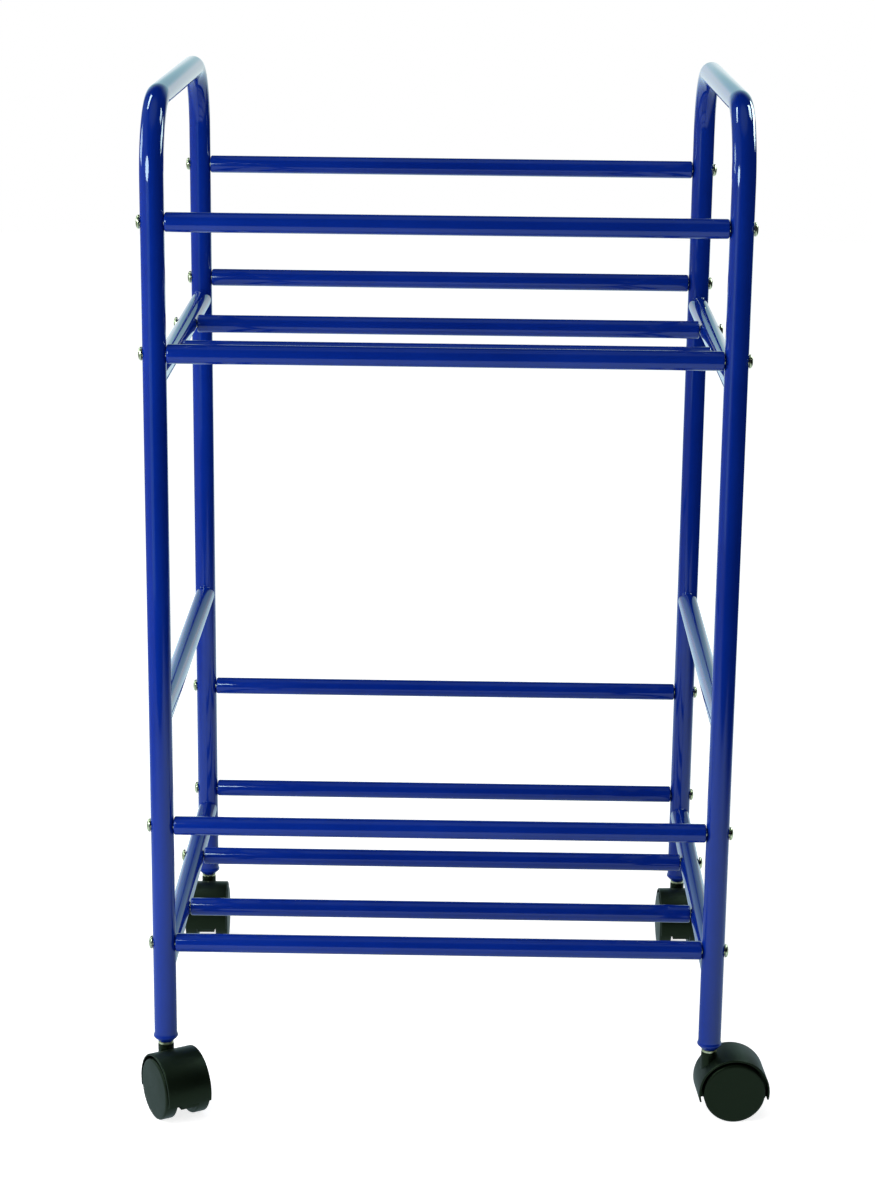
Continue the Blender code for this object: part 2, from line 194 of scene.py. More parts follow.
def turned(name: str, profile: Profile, sides: int) -> Piece:
    """Turn a closed piece about Z by drawing a ring along its profile.

    Args:
        name: Name of the piece.
        profile: (radius, height) of each ring, in order along the surface.
        sides: Number of sides of a ring.

    Returns:
        The finished piece.
    """
    radius, height = profile[0]
    piece = ring(name, radius, Vector((0, 0, height)), sides)
    draw_rings(profile, Vector())
    return close_and_settle(piece)


def quarter_round(start: tuple[float, float], end: tuple[float, float], bulge: bool, steps: int) -> Profile:
    """Points of a quarter ellipse in a profile, without its two ends.

    Args:
        start: (radius, height) where the quarter leaves the first line.
        end: (radius, height) where it meets the second line.
        bulge: True if the first line runs along the radius, so that the radius is spent first.
        steps: Number of segments.

    Returns:
        The (radius, height) points between the two ends.
    """
    points = []
    for step in range(1, steps):
        turn = math.pi / 2 * step / steps
        shares = (math.sin(turn), 1 - math.cos(turn))
        across, up = shares if bulge else reversed(shares)
        points.append((start[0] + (end[0] - start[0]) * across, start[1] + (end[1] - start[1]) * up))
    return points


def rod(name: str, radius: float, length: float, centre: Vector, turn: Vector, sides: int) -> Piece:
    """Add a plain rod, the blank for a cutter or a shaped piece.

    Args:
        name: Name of the rod.
        radius: Its radius.
        length: Its length.
        centre: Its middle.
        turn: Its Euler angles from upright.
        sides: Number of its sides.

    Returns:
        The rod, with its place applied.
    """
    start_fresh()
    bpy.ops.mesh.primitive_cylinder_add(
        vertices=sides, radius=radius, depth=length, end_fill_type="NGON", location=centre, rotation=turn
    )
    piece = bpy.context.object
    piece.name = piece.data.name = name
    bpy.ops.object.transform_apply(location=True, rotation=True, scale=True)
    return piece


def settle_modifier(piece: Piece, modifier: bpy.types.Modifier) -> None:
    """Apply a modifier to its piece."""
    select_only(piece)
    bpy.ops.object.modifier_apply(modifier=modifier.name)


def combine(body: Piece, other: Piece, operation: str) -> None:
    """Join another solid to a body or cut it away, and use it up.

    Args:
        body: The piece that stays.
        other: The solid that is joined or cut.
        operation: UNION or DIFFERENCE.
    """
    modifier = body.modifiers.new(f"{operation.lower()}_{other.name}", "BOOLEAN")
    modifier.operation = operation
    modifier.object = other
    settle_modifier(body, modifier)
    bpy.data.objects.remove(other)


def copy_at(master: Piece, name: str, place: Matrix) -> Piece:
    """Copy a piece with a mesh of its own and set the copy's place in its mesh.

    Args:
        master: The piece that is copied.
        name: Name of the copy.
        place: Where the copy goes.

    Returns:
        The copy.
    """
    piece = master.copy()
    piece.data = master.data.copy()
    piece.name = piece.data.name = name
    bpy.context.scene.collection.objects.link(piece)
    piece.data.transform(place)
    return piece


def middle_of(node: str) -> Vector:
    """Middle of a node's box."""
    low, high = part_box(node)
    return (low + high) / 2


# Finishes

MIX_PLACES = {"FLOAT": (2, 3, 0), "RGBA": (6, 7, 2)}


def feed(tree: Tree, entry: Socket, value: object) -> None:
    """Link an input to another node's output, or set its value.

    Args:
        tree: The tree that holds both.
        entry: The input.
        value: An output, a number, or a colour without its alpha.
    """
    if isinstance(value, Socket):
        tree.links.new(value, entry)
    else:
        entry.default_value = (*value, 1) if isinstance(value, tuple) else value


def add_node(tree: Tree, kind: str, *entries: object, **settings: object) -> bpy.types.Node:
    """Add a node, set its properties and feed its inputs.

    Args:
        tree: The tree that it goes in.
        kind: The node's type, without what all shader nodes start with.
        entries: What its first inputs get, in order.
        settings: Properties by name, and what inputs get by socket name with spaces as underscores.

    Returns:
        The node.
    """
    node = tree.nodes.new(f"ShaderNode{kind}")
    for key, value in settings.items():
        if hasattr(node, key):
            setattr(node, key, value)
        else:
            feed(tree, node.inputs[key.replace("_", " ")], value)
    for entry, value in zip(node.inputs, entries):
        feed(tree, entry, value)
    return node


def reckon(tree: Tree, operation: str, *terms: object, clamp: bool = False) -> Socket:
    """Result of a sum, a product or the like of numbers or outputs."""
    return add_node(tree, "Math", *terms, operation=operation, use_clamp=clamp).outputs[0]


def noise(tree: Tree, place: Socket, scale: object, detail: float, **settings: float) -> Socket:
    """Noise of a scale and a detail over a place."""
    return add_node(tree, "TexNoise", Vector=place, Scale=scale, Detail=detail, **settings).outputs["Fac"]


def blend(tree: Tree, kind: str, share: object, first: object, second: object) -> Socket:
    """Blend two numbers or colours.

    Args:
        tree: The tree that it goes in.
        kind: FLOAT or RGBA.
        share: Share of the second.
        first: The first.
        second: The second.

    Returns:
        The blend.
    """
    node = add_node(tree, "Mix", share, data_type=kind)
    first_place, second_place, result = MIX_PLACES[kind]
    feed(tree, node.inputs[first_place], first)
    feed(tree, node.inputs[second_place], second)
    return node.outputs[result]


def mix_shaders(tree: Tree, share: Socket, first: Socket, second: Socket) -> Socket:
    """Mix two shaders, the second by a share."""
    return add_node(tree, "MixShader", share, first, second).outputs[0]


@dataclass(frozen=True)
class Ramp:
    """Rise or fall of a value between two places.

    Attributes:
        start: Where it starts.
        end: Where it ends.
        low: Value before the start.
        high: Value past the end.
        smooth: Whether it eases in and out.
    """

    start: float
    end: float
    low: float = 0.0
    high: float = 1.0
    smooth: bool = True

    def over(self, tree: Tree, place: Socket) -> Socket:
        """Add the ramp to a tree.

        Args:
            tree: The tree.
            place: The value that the ramp runs over.

        Returns:
            The ramp's value.
        """
        node = add_node(tree, "MapRange", place, self.start, self.end, self.low, self.high)
        node.interpolation_type = "SMOOTHSTEP" if self.smooth else "LINEAR"
        return node.outputs["Result"]


TONE_SPAN = Ramp(0.32, 0.68, smooth=False)
GRAINS_PER_CELL = 4.0
STREAK_SCALE = 900.0
BARE_LEVEL = 0.42
MARK_SHARPNESS = 12.0


def start_group(name: str, output: str, **inputs: float) -> tuple[Tree, bpy.types.bpy_prop_collection]:
    """Start a node group with a vector input, number inputs and a number output.

    Args:
        name: Name of the group.
        output: Name of its output.
        inputs: Default value of each number input.

    Returns:
        The group, and what it is given.
    """
    tree = bpy.data.node_groups.new(name, "ShaderNodeTree")
    tree.interface.new_socket("Vector", in_out="INPUT", socket_type="NodeSocketVector")
    for socket, value in inputs.items():
        tree.interface.new_socket(socket, in_out="INPUT", socket_type="NodeSocketFloat").default_value = value
    tree.interface.new_socket(output, in_out="OUTPUT", socket_type="NodeSocketFloat")
    return tree, tree.nodes.new("NodeGroupInput").outputs


def end_group(tree: Tree, answer: Socket) -> Tree:
    """Link a group's output."""
    feed(tree, tree.nodes.new("NodeGroupOutput").inputs[0], answer)
    return tree


def use_group(tree: Tree, group: Tree, place: Socket, **sizes: float) -> Socket:
    """Output of a group in a material, over a place."""
    return add_node(tree, "Group", node_tree=group, Vector=place, **sizes).outputs[0]


def drift_group() -> Tree:
    """Slow unevenness of a tone over a surface, from 0 to 1."""
    tree, given = start_group("tone_drift", "Drift", Size=0.1)
    wide = noise(tree, given["Vector"], reckon(tree, "DIVIDE", 1.0, given["Size"]), 3.0, Roughness=0.55)
    return end_group(tree, TONE_SPAN.over(tree, wide))


def film_group() -> Tree:
    """Height of a fine skin: rounded cells of one size, broken up by finer grains."""
    tree, given = start_group("skin_relief", "Height", Size=0.002, Grain=0.3)
    pitch = reckon(tree, "DIVIDE", 1.0, given["Size"])
    cells = noise(tree, given["Vector"], pitch, 0.0)
    grains = noise(tree, given["Vector"], reckon(tree, "MULTIPLY", pitch, GRAINS_PER_CELL), 2.0)
    return end_group(tree, reckon(tree, "MULTIPLY_ADD", grains, given["Grain"], cells))


def scuff_group() -> Tree:
    """Mask of faint rubs and dust specks, from 0 to 1."""
    tree, given = start_group("handling_marks", "Mask", Size=0.03, Cover=0.1)
    patches = noise(tree, given["Vector"], reckon(tree, "DIVIDE", 1.0, given["Size"]), 5.0, Roughness=0.7)
    streaks = noise(tree, given["Vector"], STREAK_SCALE, 2.0, Distortion=0.6)
    limit = reckon(tree, "SUBTRACT", BARE_LEVEL, given["Cover"])
    above = reckon(tree, "SUBTRACT", reckon(tree, "MULTIPLY", patches, streaks), limit)
    return end_group(tree, reckon(tree, "MULTIPLY", above, MARK_SHARPNESS, clamp=True))


@dataclass(frozen=True)
class SurfaceFinish:
    """One procedural finish.

    Attributes:
        dark: Base colour where the tone runs low.
        light: Base colour where it runs high.
        marked: Base colour of rubs and dust.
        drift_size: Size of the tone's patches.
        roughness: Roughness where the tone runs low and where it runs high.
        marked_roughness: Roughness of rubs and dust.
        relief_size: Size of the cells of the skin.
        relief_depth: Depth of the skin's relief.
        grain: Share of fine grains in the relief.
        marks_size: Size of the patches of rubs.
        marks_cover: How much of the surface they reach.
        metallic: 1 for bare metal.
        specular: Strength of the reflection off a surface that isn't metal, 0.5 for common ones.
        specular_tint: Colour of that reflection.
    """

    dark: Colour
    light: Colour
    marked: Colour
    drift_size: float
    roughness: tuple[float, float]
    marked_roughness: float
    relief_size: float
    relief_depth: float
    grain: float
    marks_size: float
    marks_cover: float
    metallic: float = 0.0
    specular: float = 0.5
    specular_tint: Colour = WHITE


FINISHES = {
    Finish.BLUE_ENAMEL: SurfaceFinish(
        dark=(0.0022, 0.0230, 0.2800),
        light=(0.0032, 0.0300, 0.3400),
        marked=(0.0060, 0.0400, 0.3600),
        drift_size=0.12,
        roughness=(0.05, 0.09),
        marked_roughness=0.20,
        relief_size=0.0028,
        relief_depth=0.0000018,
        grain=0.10,
        marks_size=0.05,
        marks_cover=0.00,
    ),
    Finish.BLACK_PLASTIC: SurfaceFinish(
        dark=(0.0022, 0.0045, 0.0024),
        light=(0.0036, 0.0070, 0.0038),
        marked=(0.0090, 0.0130, 0.0090),
        drift_size=0.02,
        roughness=(0.38, 0.46),
        marked_roughness=0.60,
        relief_size=0.0006,
        relief_depth=0.000012,
        grain=0.60,
        marks_size=0.012,
        marks_cover=0.06,
        specular=0.31,
        specular_tint=(0.78, 1.0, 0.58),
    ),
    Finish.ZINC_PLATE: SurfaceFinish(
        dark=(0.5800, 0.5500, 0.3200),
        light=(0.8600, 0.8000, 0.5400),
        marked=(0.4200, 0.4000, 0.3400),
        drift_size=0.006,
        roughness=(0.22, 0.36),
        marked_roughness=0.50,
        metallic=1.0,
        relief_size=0.0005,
        relief_depth=0.000006,
        grain=0.80,
        marks_size=0.004,
        marks_cover=0.08,
    ),
}


class PaintBooth:
    """Makes each finish once, from three shared groups, and puts it on pieces."""

    def __init__(self) -> None:
        """Build the shared groups."""
        self.drift, self.film, self.scuffs = drift_group(), film_group(), scuff_group()
        self.made: dict[Finish, bpy.types.Material] = {}

    def paint(self, piece: Piece, finish: Finish) -> None:
        """Give a piece its finish, which is made the first time that it is asked for.

        Args:
            piece: The piece.
            finish: The finish.
        """
        if finish not in self.made:
            self.made[finish] = self.mix(finish.value, FINISHES[finish])
        piece.data.materials.clear()
        piece.data.materials.append(self.made[finish])

    def hand_over(self, piece: Piece, node: str, body: str, finish: Finish) -> None:
        """Give a piece its finish and its body, and hide the frame's node that it stands for.

        Args:
            piece: The finished piece.
            node: The node that it replaces.
            body: The body that it rides on.
            finish: Its finish.
        """
        self.paint(piece, finish)
        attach(piece, body)
        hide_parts(node)
        LOG.info("%s: %d faces, rides on %s", piece.name, len(piece.data.polygons), body)

    def mix(self, name: str, look: SurfaceFinish) -> bpy.types.Material:
        """Build the material of one finish.

        Args:
            name: Name of the material.
            look: Its values.

        Returns:
            The material.
        """
        material = bpy.data.materials.new(name)
        material.use_nodes = True
        tree = material.node_tree
        place = add_node(tree, "TexCoord").outputs["Object"]
        drift = use_group(tree, self.drift, place, Size=look.drift_size)
        film = use_group(tree, self.film, place, Size=look.relief_size, Grain=look.grain)
        scuffs = use_group(tree, self.scuffs, place, Size=look.marks_size, Cover=look.marks_cover)
        tone = blend(tree, "RGBA", drift, look.dark, look.light)
        gloss = Ramp(0.0, 1.0, *look.roughness, smooth=False).over(tree, drift)
        bump = add_node(tree, "Bump", Strength=1.0, Distance=look.relief_depth, Height=film)
        shader = tree.nodes["Principled BSDF"].inputs
        feed(tree, shader["Base Color"], blend(tree, "RGBA", scuffs, tone, look.marked))
        feed(tree, shader["Roughness"], blend(tree, "FLOAT", scuffs, gloss, look.marked_roughness))
        feed(tree, shader["Normal"], bump.outputs["Normal"])
        feed(tree, shader["Metallic"], look.metallic)
        feed(tree, shader["Specular IOR Level"], look.specular)
        feed(tree, shader["Specular Tint"], look.specular_tint)
        return material


# Pieces


@dataclass
class SideFrames:
    """The two bent and welded side frames.

    Attributes:
        leg_radius: Radius of the bent tube.
        bend_radius: Radius of its axis in the two handle bends.
        depth: Distance between the axes of its two legs.
        foot_profile: (radius, height above the tip) of the drawn-in foot, from the stem's bore outwards.
        weld: Leg of the weld bead round a rung's mouth.
        weld_at_flank: Share of the bead that is left at a mouth's sides.
        mouth_reach: Share of the leg's radius that a mouth reaches across at most.
        bite: How far a mouth goes into the leg.
    """

    booth: PaintBooth
    leg_radius: float = 0.0095
    bend_radius: float = 0.060
    depth: float = 0.387
    rung_radius: float = 0.00875
    rung_heights: tuple[float, ...] = (0.12665, 0.34245, 0.62415)
    foot_profile: Profile = (
        (0.0043, 0.0200), (0.0043, 0.0004), (0.0046, 0.0000), (0.0062, 0.0000), (0.0065, 0.0001),
        (0.0068, 0.0005), (0.0099, 0.0036), (0.0102, 0.0041), (0.0103, 0.0046), (0.0102, 0.0052),
        (0.0098, 0.0062), (0.0096, 0.0070), (0.0095, 0.0078),
    )
    weld: float = 0.0014
    weld_at_flank: float = 0.12
    mouth_reach: float = 0.985
    bite: float = 0.0001
    tube_sides: int = 64
    rung_sides: int = 48
    bend_steps: int = 28
    weld_steps: int = 5

    def tube(self, tip_height: float, top_height: float) -> Piece:
        """Draw the bent tube in the plane x = 0, from the front foot over the handle to the back foot.

        Args:
            tip_height: Height of the feet's tips.
            top_height: Height of the handle's axis.

        Returns:
            The tube.
        """
        foot, half = self.foot_profile, self.depth / 2
        front, back = Vector((0, -half, tip_height)), Vector((0, half, tip_height))
        piece = ring("side_frame_tube", foot[0][0], front + Vector((0, 0, foot[0][1])), self.tube_sides)
        draw_rings(foot, front)
        bend_height = top_height - self.bend_radius
        straight = bend_height - tip_height - foot[-1][1]
        extrude((0, 0, straight))
        inset = half - self.bend_radius
        for bend_y in (-inset, inset):
            centre = (0, bend_y, bend_height)
            bpy.ops.mesh.spin(steps=self.bend_steps, angle=math.pi / 2, center=centre, axis=(1, 0, 0))
            if bend_y < 0:
                extrude((0, 2 * inset, 0))
        extrude((0, 0, -straight))
        draw_rings(foot[::-1], back)
        return close_and_settle(piece)

    def rung(self, height: float) -> Piece:
        """Turn a rung with a weld bead at each end, then seat its mouths on the legs' round sides.

        Args:
            height: Height of the rung's axis.

        Returns:
            The rung, in the plane x = 0.
        """
        bead = []
        for step in range(self.weld_steps + 1):
            turn = math.pi / 2 * step / self.weld_steps
            bead.append((self.weld * (1 - math.cos(turn)), self.weld * (1 - math.sin(turn))))
        half = self.depth / 2
        profile = [(self.rung_radius + out, -half + gap) for out, gap in reversed(bead)]
        profile += [(self.rung_radius + out, half - gap) for out, gap in bead]
        piece = turned("side_frame_rung", profile, self.rung_sides)
        for vertex in piece.data.vertices:
            reach = math.hypot(vertex.co.x, vertex.co.y)
            across = vertex.co.x / reach
            out = reach - self.rung_radius
            gap = half - abs(vertex.co.z)
            room = self.weld_at_flank + (1 - self.weld_at_flank) * (1 - across * across)
            reach = self.rung_radius + out * room
            side = min(abs(across) * reach, self.mouth_reach * self.leg_radius)
            upright = math.copysign(math.sqrt(max(reach * reach - side * side, 0.0)), vertex.co.y)
            seat = half - math.sqrt(self.leg_radius**2 - side * side) + self.bite
            along = math.copysign(seat - gap * room, vertex.co.z)
            vertex.co = (math.copysign(side, across), along, upright + height)
        return close_and_settle(piece)

    def build(self) -> None:
        """Model one side frame, join its rungs to the tube and stand a copy at each end."""
        low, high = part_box("side_frame_left")
        tube = self.tube(low.z, high.z - self.leg_radius)
        rungs = [self.rung(height) for height in self.rung_heights]
        select_only(tube)
        for piece in rungs:
            piece.select_set(True)
        bpy.ops.object.join()
        for side in Side:
            end = side.name.lower()
            middle = middle_of(f"side_frame_{end}")
            piece = copy_at(tube, f"{end}_side_frame", Matrix.Translation((middle.x, middle.y, 0)))
            self.booth.hand_over(piece, f"side_frame_{end}", ROOT_BODY, Finish.BLUE_ENAMEL)
        bpy.data.objects.remove(tube)


@dataclass
class Crossbars:
    """The rails and base bars that tie the side frames together.

    Attributes:
        end_rounding: Rounding of a bar's ends.
        bore_radius: Radius of the screw's bore in an end.
        bore_depth: Depth of that bore.
    """

    booth: PaintBooth
    radius: float = 0.00775
    end_rounding: float = 0.0015
    bore_radius: float = 0.0033
    bore_depth: float = 0.012
    sides: int = 56
    rounding_steps: int = 6

    def bar(self, length: float) -> Piece:
        """Turn a bar about Z with rounded and bored ends.

        Args:
            length: Length of the bar.

        Returns:
            The bar, centred on the origin.
        """
        end = length / 2
        face = (self.radius - self.end_rounding, end)
        shoulder = (self.radius, end - self.end_rounding)
        top = [(self.bore_radius, end - self.bore_depth), (self.bore_radius, end), face]
        top += [*quarter_round(face, shoulder, True, self.rounding_steps), shoulder]
        profile = top + [(radius, -height) for radius, height in reversed(top)]
        return turned("crossbar", profile, self.sides)

    def build(self) -> list[str]:
        """Model each length of bar once and set a copy at each bar's place.

        Returns:
            The names of the bars' nodes.
        """
        masters: dict[float, Piece] = {}
        nodes = sorted(name for name in frame["nodes"] if name.endswith(("_rail", "_bar")))
        for node in nodes:
            low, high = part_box(node)
            length = round(high.x - low.x, 5)
            if length not in masters:
                masters[length] = self.bar(length)
            place = Matrix.Translation((low + high) / 2) @ Matrix.Rotation(math.pi / 2, 4, "Y")
            piece = copy_at(masters[length], f"{node}_tube", place)
            self.booth.hand_over(piece, node, ROOT_BODY, Finish.BLUE_ENAMEL)
        for master in masters.values():
            bpy.data.objects.remove(master)
        return nodes


@dataclass
class Screws:
    """The domed screws that hold the bars.

    Attributes:
        head_height: Height of the dome above its seat.
        seat_profile: (radius, height) from the shank's top over the seat to the upright rim's top.
        crown_radius: Radius of the small flat on top of the dome.
        tip: Radius and length of the shank's drawn-in tip.
        recess_size: Span, width and depth of each slot of the cross recess.
        recess_taper: Size of a slot's bottom, as a share of its mouth.
        turn: Turn in degrees from one screw to the next, so that no two recesses stand alike.
        crease: Edges sharper than this, in degrees, stay sharp.
    """

    booth: PaintBooth
    head_height: float = 0.0030
    seat_profile: Profile = (
        (0.0030, -0.0003), (0.0033, 0.0000), (0.0052, 0.0000), (0.0055, 0.0002), (0.0055, 0.0008),
    )
    crown_radius: float = 0.0002
    tip: tuple[float, float] = (0.0021, 0.0010)
    recess_size: tuple[float, float, float] = (0.0060, 0.0013, 0.0017)
    recess_taper: float = 0.5
    turn: float = 37
    crease: float = 35
    sides: int = 40
    dome_steps: int = 8

    def screw(self, shank: float) -> Piece:
        """Turn a screw about Z with its seat at z = 0, and cut its cross recess.

        Args:
            shank: Length of the shank below the seat.

        Returns:
            The screw, head up.
        """
        (tip_radius, tip_length), seat = self.tip, self.seat_profile
        profile = [(tip_radius, -shank), (seat[0][0], tip_length - shank), *seat]
        profile += quarter_round(seat[-1], (0, self.head_height), False, self.dome_steps)
        profile.append((self.crown_radius, self.head_height))
        piece = turned("screw", profile, self.sides)
        for turn in (0.0, math.pi / 2):
            combine(piece, self.slot(turn), "DIFFERENCE")
        shade(piece, self.crease)
        return piece

    def slot(self, turn: float) -> Piece:
        """Shape a cutter for one slot of the recess, drawn in towards its bottom.

        Args:
            turn: Its turn about Z.

        Returns:
            The cutter.
        """
        start_fresh()
        bpy.ops.mesh.primitive_cube_add(size=1.0, location=(0, 0, self.head_height))
        piece = bpy.context.object
        piece.name = piece.data.name = "recess_slot"
        span, width, depth = self.recess_size
        piece.scale = (span, width, 2 * depth)
        piece.rotation_euler.z = turn
        bpy.ops.object.transform_apply(location=True, rotation=True, scale=True)
        edit_picked(piece, "FACE", lambda corners: all(corner.z < self.head_height for corner in corners))
        bottom = Vector((0, 0, self.head_height - depth))
        bpy.ops.transform.resize(value=(self.recess_taper, self.recess_taper, 1), center_override=bottom)
        bpy.ops.object.mode_set(mode="OBJECT")
        return piece

    def build(self, bars: Sequence[str]) -> None:
        """Model one screw and set a copy from the outside of each end of each bar.

        Args:
            bars: The names of the bars' nodes.
        """
        low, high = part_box(f"{bars[0]}_screw_left")
        master = self.screw(high.x - low.x - self.head_height)
        for number, bar in enumerate(bars):
            for side in Side:
                node = f"{bar}_screw_{side.name.lower()}"
                low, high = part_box(node)
                middle = (low + high) / 2
                seat = high.x - self.head_height if side is Side.RIGHT else low.x + self.head_height
                spin = Matrix.Rotation(math.radians(self.turn * (2 * number + side.value)), 4, "Z")
                face = Matrix.Rotation(side.value * math.pi / 2, 4, "Y")
                place = Matrix.Translation((seat, middle.y, middle.z)) @ face @ spin
                piece = copy_at(master, f"{node}_body", place)
                self.booth.hand_over(piece, node, ROOT_BODY, Finish.ZINC_PLATE)
        bpy.data.objects.remove(master)


@dataclass
class Casters:
    """The four swivelling twin-wheel casters.

    Attributes:
        trail: Distance from the stem's axis to the axle.
        wheel_spacing: Distance between the two wheels' inner faces.
        wheel_hub: (radius, width) of a wheel's section from its bore over its hub.
        inner_round: The same where the inner face's rounding starts and ends.
        outer_round: The same of the outer face's rounding.
        dome_height: Height of the dome on the outer face.
        dome_shares: Radii of the dome's rings, as shares of its own.
        hood_radius: Radius of the hood's crown.
        hood_wall: Thickness of its wall.
        rim_rounding: Width and segments of the rounding of its two rims.
        leading_drop: How far its crown goes down past the axle's height on the stem's side.
        trailing_drop: The same on the other side.
        web_inset: How much smaller the web's radius is than the crown's.
        web_trailing_drop: How far the web goes down past the axle's height on the trailing side.
        neck_profile: (radius, height) of the neck that the stem goes into.
        socket: Radius and depth of the stem's hole in it.
        softening: Width, segments and least edge angle, in degrees, of the rounding of other edges.
        crease: Edges of the hood that are sharper than this, in degrees, stay sharp.
        cutter_spare: How far a cutter stands out of the hood.
        stem_profile: (radius, height) of the stem and its collar, from the collar's underside.
        packed_drop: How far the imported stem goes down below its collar.
    """

    booth: PaintBooth
    trail: float = 0.0200
    axle_height: float = 0.0259
    wheel_spacing: float = 0.0166
    wheel_hub: Profile = ((0.0033, 0.0092), (0.0033, 0.0), (0.0223, 0.0), (0.0226, 0.0003), (0.0226, 0.0009))
    inner_round: Profile = ((0.0245, 0.0009), (0.0259, 0.0023))
    outer_round: Profile = ((0.0259, 0.0106), (0.0233, 0.0121))
    dome_height: float = 0.0006
    dome_shares: tuple[float, ...] = (0.8, 0.6, 0.4, 0.2, 0.01)
    hood_radius: float = 0.0299
    hood_width: float = 0.0386
    hood_wall: float = 0.0015
    rim_rounding: tuple[float, int] = (0.0009, 4)
    leading_drop: float = math.radians(15)
    trailing_drop: float = math.radians(12)
    web_thickness: float = 0.0160
    web_inset: float = 0.0003
    web_trailing_drop: float = math.radians(18.8)
    neck_profile: Profile = ((0.0066, 0.0259), (0.0066, 0.05545), (0.0064, 0.05595), (0.0059, 0.05615))
    socket: tuple[float, float] = (0.0043, 0.030)
    softening: tuple[float, int, float] = (0.00035, 3, 50)
    crease: float = 30
    cutter_spare: float = 0.01
    stem_profile: Profile = (
        (0.0040, -0.02900), (0.0040, 0.00000), (0.0062, 0.00000), (0.0064, 0.00020), (0.0064, 0.00165),
        (0.0063, 0.00195), (0.0061, 0.00205), (0.0058, 0.00215), (0.0040, 0.00215), (0.0040, 0.02000),
    )
    packed_drop: float = 0.0294
    hood_sides: int = 128
    wheel_sides: int = 96
    stem_sides: int = 48
    rounding_steps: tuple[int, int] = (6, 7)

    @property
    def axle(self) -> Vector:
        """Middle of the axle, with the stem's axis at the origin and the trail along +X."""
        return Vector((self.trail, 0, self.axle_height))

    def across(self, name: str, radius: float, width: float, sides: int, shift: float = 0) -> Piece:
        """Add a rod along the axle.

        Args:
            name: Name of the rod.
            radius: Its radius.
            width: Its length.
            sides: Number of its sides.
            shift: How far its middle lies from the axle's.

        Returns:
            The rod.
        """
        centre = self.axle + Vector((0, shift, 0))
        return rod(name, radius, width, centre, Vector((math.pi / 2, 0, 0)), sides)

    def rim_point(self, angle: float) -> Vector:
        """Point of the hood's crown at an angle about the axle, from the trailing side upwards."""
        return self.axle + self.hood_radius * Vector((math.cos(angle), 0, math.sin(angle)))

    def opening(self) -> Piece:
        """Shape the cutter that opens the crown below: a prism with its edge on the axle.

        Returns:
            The cutter.
        """
        reach = 2 * self.hood_radius
        cutter = self.across("crown_opening", 1.0, self.hood_width + 2 * self.cutter_spare, 3)
        trailing, leading = self.trailing_drop, self.leading_drop
        corners = {
            90: self.axle,
            330: self.axle + reach * Vector((math.cos(trailing), 0, -math.sin(trailing))),
            210: self.axle + reach * Vector((-math.cos(leading), 0, -math.sin(leading))),
        }
        for vertex in cutter.data.vertices:
            place = vertex.co - self.axle
            corner = corners[round(math.degrees(math.atan2(place.z, place.x))) % 360]
            vertex.co.x, vertex.co.z = corner.x, corner.z
        below = self.axle_height - self.hood_wall
        edit_picked(cutter, "FACE", lambda corners: all(corner.z < below for corner in corners))
        extrude((0, 0, -2 * reach))
        bpy.ops.mesh.select_all(action="SELECT")
        bpy.ops.mesh.normals_make_consistent(inside=False)
        bpy.ops.object.mode_set(mode="OBJECT")
        return cutter

    def web(self) -> Piece:
        """Shape the web: a disc cut off from the one end of the crown to the other.

        Returns:
            The web.
        """
        web = self.across("web", self.hood_radius - self.web_inset, self.web_thickness, self.hood_sides)
        edit_only(web)
        trailing = self.rim_point(-self.web_trailing_drop)
        leading = self.rim_point(math.pi + self.leading_drop)
        upwards = Vector((0, 1, 0)).cross(leading - trailing).normalized()
        bpy.ops.mesh.bisect(plane_co=trailing, plane_no=upwards, clear_inner=True, use_fill=True)
        bpy.ops.object.mode_set(mode="OBJECT")
        return web

    def hood(self) -> Piece:
        """Shape a hood: a crown over both wheels, open below, with a web, a neck and two wells.

        Returns:
            The hood.
        """
        hood = self.across("caster_hood", self.hood_radius, self.hood_width, self.hood_sides)
        width, segments = self.rim_rounding
        edit_picked(hood, "EDGE", lambda ends: abs(ends[0].y + ends[1].y) > width)
        bpy.ops.mesh.bevel(offset=width, segments=segments, affect="EDGES")
        bpy.ops.object.mode_set(mode="OBJECT")
        combine(hood, self.opening(), "DIFFERENCE")
        combine(hood, self.web(), "UNION")
        combine(hood, turned("neck", self.neck_profile, self.stem_sides), "UNION")
        depth = (self.hood_width - self.web_thickness) / 2 + self.cutter_spare
        for side in Side:
            shift = side.value * (self.web_thickness + depth) / 2
            radius = self.hood_radius - self.hood_wall
            combine(hood, self.across("wheel_well", radius, depth, self.hood_sides, shift), "DIFFERENCE")
        mouth = Vector((0, 0, self.neck_profile[-1][1]))
        socket = rod("stem_socket", self.socket[0], 2 * self.socket[1], mouth, Vector(), self.stem_sides)
        combine(hood, socket, "DIFFERENCE")
        softener = hood.modifiers.new("softened_edges", "BEVEL")
        softener.width, softener.segments, angle = self.softening
        softener.limit_method = "ANGLE"
        softener.angle_limit = math.radians(angle)
        settle_modifier(hood, softener)
        shade(hood, self.crease)
        return hood

    def wheel(self) -> Piece:
        """Turn a wheel about Z: a hub with its face at z = 0, a rounded tread and a domed outer face.

        Returns:
            The wheel.
        """
        (inner, tread), (shoulder, rim) = self.inner_round, self.outer_round
        profile = [*self.wheel_hub, inner, *quarter_round(inner, tread, True, self.rounding_steps[0]), tread]
        profile += [shoulder, *quarter_round(shoulder, rim, False, self.rounding_steps[1]), rim]
        for share in self.dome_shares:
            profile.append((rim[0] * share, rim[1] + self.dome_height * (1 - share * share)))
        return turned("caster_wheel", profile, self.wheel_sides)

